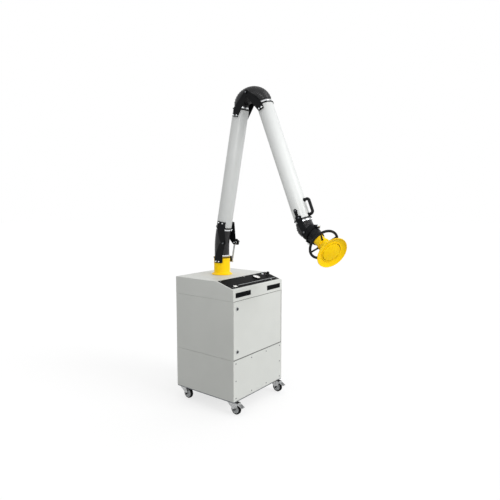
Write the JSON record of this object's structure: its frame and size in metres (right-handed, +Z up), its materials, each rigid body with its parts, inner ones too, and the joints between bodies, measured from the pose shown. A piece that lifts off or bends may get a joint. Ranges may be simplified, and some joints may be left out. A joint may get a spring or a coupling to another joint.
{
  "type": "mobile fume extractor",
  "caption": "Wheeled filter cabinet with a sloping console and a jointed suction arm that carries a round, swivelling extraction hood with a grip ring.",
  "frame": {"origin": "centre of the cabinet's underside", "axes": "+Z up, -Y towards the front with the door, +X to the right seen from the front"},
  "size_m": [0.516, 1.0892, 1.9968],
  "materials": {
    "grey_paint": "satin",
    "tube_paint": "satin",
    "black_plastic": "matte",
    "black_rubber": "matte",
    "yellow_plastic": "satin",
    "zinc_steel": "satin",
    "grey_plastic": "matte",
    "white_plastic": "gloss",
    "red_plastic": "gloss",
    "filter_media": "matte",
    "carbon_cassette": "matte"
  },
  "bodies": {
    "cabinet": {"base_shell": "grey_paint", "filter_shell": "grey_paint", "top_shell": "grey_paint", "lower_front_panel": "grey_paint", "prefilter": "filter_media", "fine_filter": "filter_media", "carbon_filter": "carbon_cassette", "fan_housing": "zinc_steel", "inlet_duct": "zinc_steel", "control_panel": "black_plastic", "gauge_case": "black_plastic", "signal_lamp": "white_plastic", "outlet_grille_left": "black_plastic", "outlet_grille_right": "black_plastic", "mains_inlet": "black_plastic", "caster_plate_fl": "zinc_steel", "caster_plate_fr": "zinc_steel", "caster_plate_rl": "zinc_steel", "caster_plate_rr": "zinc_steel"},
    "door": {"door": "grey_paint"},
    "lock_upper": {"door_lock_upper": "zinc_steel"},
    "lock_lower": {"door_lock_lower": "zinc_steel"},
    "knob": {"speed_knob": "black_plastic"},
    "rocker": {"power_rocker": "white_plastic"},
    "button": {"push_button": "grey_plastic"},
    "needle": {"gauge_needle": "red_plastic"},
    "impeller": {"fan_impeller": "black_plastic"},
    "arm_base": {"swivel_collar": "yellow_plastic", "shoulder_bracket": "black_plastic", "shoulder_hose": "black_rubber", "brace_strap": "zinc_steel"},
    "friction_knob": {"shoulder_knob": "black_plastic"},
    "lower_arm": {"lower_tube": "tube_paint", "lower_arm_shoulder_bracket": "black_plastic", "lower_arm_elbow_bracket": "black_plastic", "elbow_hose": "black_rubber"},
    "upper_arm": {"upper_tube": "tube_paint", "upper_arm_elbow_bracket": "black_plastic", "upper_arm_hood_bracket": "black_plastic", "hood_hose": "black_rubber", "pull_handle": "black_plastic"},
    "gimbal": {"gimbal_collar": "black_plastic"},
    "hood": {"hood_neck": "black_plastic", "hood_bell": "yellow_plastic", "inlet_grid": "yellow_plastic", "grip_ring": "black_plastic"},
    "caster_fl": {"caster_fork_fl": "zinc_steel"},
    "wheel_fl": {"caster_hub_fl": "grey_plastic", "caster_tyre_fl": "black_rubber"},
    "caster_fr": {"caster_fork_fr": "zinc_steel"},
    "wheel_fr": {"caster_hub_fr": "grey_plastic", "caster_tyre_fr": "black_rubber"},
    "caster_rl": {"caster_fork_rl": "zinc_steel"},
    "wheel_rl": {"caster_hub_rl": "grey_plastic", "caster_tyre_rl": "black_rubber"},
    "caster_rr": {"caster_fork_rr": "zinc_steel"},
    "wheel_rr": {"caster_hub_rr": "grey_plastic", "caster_tyre_rr": "black_rubber"},
    "pedal_fl": {"brake_pedal_fl": "zinc_steel"},
    "pedal_fr": {"brake_pedal_fr": "zinc_steel"}
  },
  "joints": [
    {"name": "door_open", "type": "hinge", "parent": "cabinet", "child": "door", "pos_m": [0.2465, -0.233, 0], "axis": [0, 0, 1], "range_deg": [0, 95]},
    {"name": "lock_upper_turn", "type": "hinge", "parent": "door", "child": "lock_upper", "pos_m": [-0.2205, -0.233, 0.5675], "axis": [0, -1, 0], "range_deg": [0, 90]},
    {"name": "lock_lower_turn", "type": "hinge", "parent": "door", "child": "lock_lower", "pos_m": [-0.2205, -0.233, 0.3035], "axis": [0, -1, 0], "range_deg": [0, 90]},
    {"name": "speed_turn", "type": "hinge", "parent": "cabinet", "child": "knob", "pos_m": [0.222, -0.14735, 0.71387], "axis": [0, -0.2946, 0.9556], "range_deg": [-135, 135]},
    {"name": "power_rock", "type": "hinge", "parent": "cabinet", "child": "rocker", "pos_m": [-0.196, -0.20683, 0.69637], "axis": [0, -0.9556, -0.2946], "range_deg": [0, 10]},
    {"name": "button_press", "type": "slide", "parent": "cabinet", "child": "button", "axis": [0, 0.2946, -0.9556], "range_m": [0, 0.002], "stiffness_N_per_m": 400},
    {"name": "gauge_turn", "type": "hinge", "parent": "cabinet", "child": "needle", "pos_m": [0.085, -0.15499, 0.71151], "axis": [0, 0.2946, -0.9556], "range_deg": [0, 240]},
    {"name": "fan_spin", "type": "hinge", "parent": "cabinet", "child": "impeller", "pos_m": [0, 0, 0], "axis": [0, 0, 1], "continuous": true},
    {"name": "arm_turn", "type": "hinge", "parent": "cabinet", "child": "arm_base", "pos_m": [0, 0.068, 0.726], "axis": [0, 0, 1], "range_deg": [-180, 180]},
    {"name": "friction_knob_turn", "type": "hinge", "parent": "arm_base", "child": "friction_knob", "pos_m": [0, 0.006, 0.939], "axis": [1, 0, 0], "range_deg": [-180, 180]},
    {"name": "shoulder_lean", "type": "hinge", "parent": "arm_base", "child": "lower_arm", "pos_m": [0, 0.006, 0.939], "axis": [1, 0, 0], "range_deg": [-30, 45], "deforming": ["shoulder_hose"]},
    {"name": "elbow_bend", "type": "hinge", "parent": "lower_arm", "child": "upper_arm", "pos_m": [0, -0.18088, 1.86738], "axis": [-1, 0, 0], "range_deg": [-10, 110], "deforming": ["elbow_hose"]},
    {"name": "hood_tilt", "type": "hinge", "parent": "upper_arm", "child": "gimbal", "pos_m": [0, -0.60111, 1.03268], "axis": [1, 0, 0], "range_deg": [-35, 45], "deforming": ["hood_hose"]},
    {"name": "hood_swing", "type": "hinge", "parent": "gimbal", "child": "hood", "pos_m": [0, -0.6307, 1.01593], "axis": [0, 0.4924, -0.8704], "range_deg": [-45, 5]},
    {"name": "caster_fl_swivel", "type": "hinge", "parent": "cabinet", "child": "caster_fl", "pos_m": [-0.224, -0.203, 0], "axis": [0, 0, 1], "continuous": true},
    {"name": "wheel_fl_roll", "type": "hinge", "parent": "caster_fl", "child": "wheel_fl", "pos_m": [-0.224, -0.234, -0.052], "axis": [1, 0, 0], "continuous": true},
    {"name": "caster_fr_swivel", "type": "hinge", "parent": "cabinet", "child": "caster_fr", "pos_m": [0.224, -0.203, 0], "axis": [0, 0, 1], "continuous": true},
    {"name": "wheel_fr_roll", "type": "hinge", "parent": "caster_fr", "child": "wheel_fr", "pos_m": [0.224, -0.234, -0.052], "axis": [1, 0, 0], "continuous": true},
    {"name": "caster_rl_swivel", "type": "hinge", "parent": "cabinet", "child": "caster_rl", "pos_m": [-0.224, 0.203, 0], "axis": [0, 0, 1], "continuous": true},
    {"name": "wheel_rl_roll", "type": "hinge", "parent": "caster_rl", "child": "wheel_rl", "pos_m": [-0.224, 0.172, -0.052], "axis": [1, 0, 0], "continuous": true},
    {"name": "caster_rr_swivel", "type": "hinge", "parent": "cabinet", "child": "caster_rr", "pos_m": [0.224, 0.203, 0], "axis": [0, 0, 1], "continuous": true},
    {"name": "wheel_rr_roll", "type": "hinge", "parent": "caster_rr", "child": "wheel_rr", "pos_m": [0.224, 0.172, -0.052], "axis": [1, 0, 0], "continuous": true},
    {"name": "brake_fl_press", "type": "hinge", "parent": "caster_fl", "child": "pedal_fl", "pos_m": [-0.224, -0.2527, -0.0163], "axis": [1, 0, 0], "range_deg": [0, 12]},
    {"name": "brake_fr_press", "type": "hinge", "parent": "caster_fr", "child": "pedal_fr", "pos_m": [0.224, -0.2527, -0.0163], "axis": [1, 0, 0], "range_deg": [0, 12]}
  ]
}
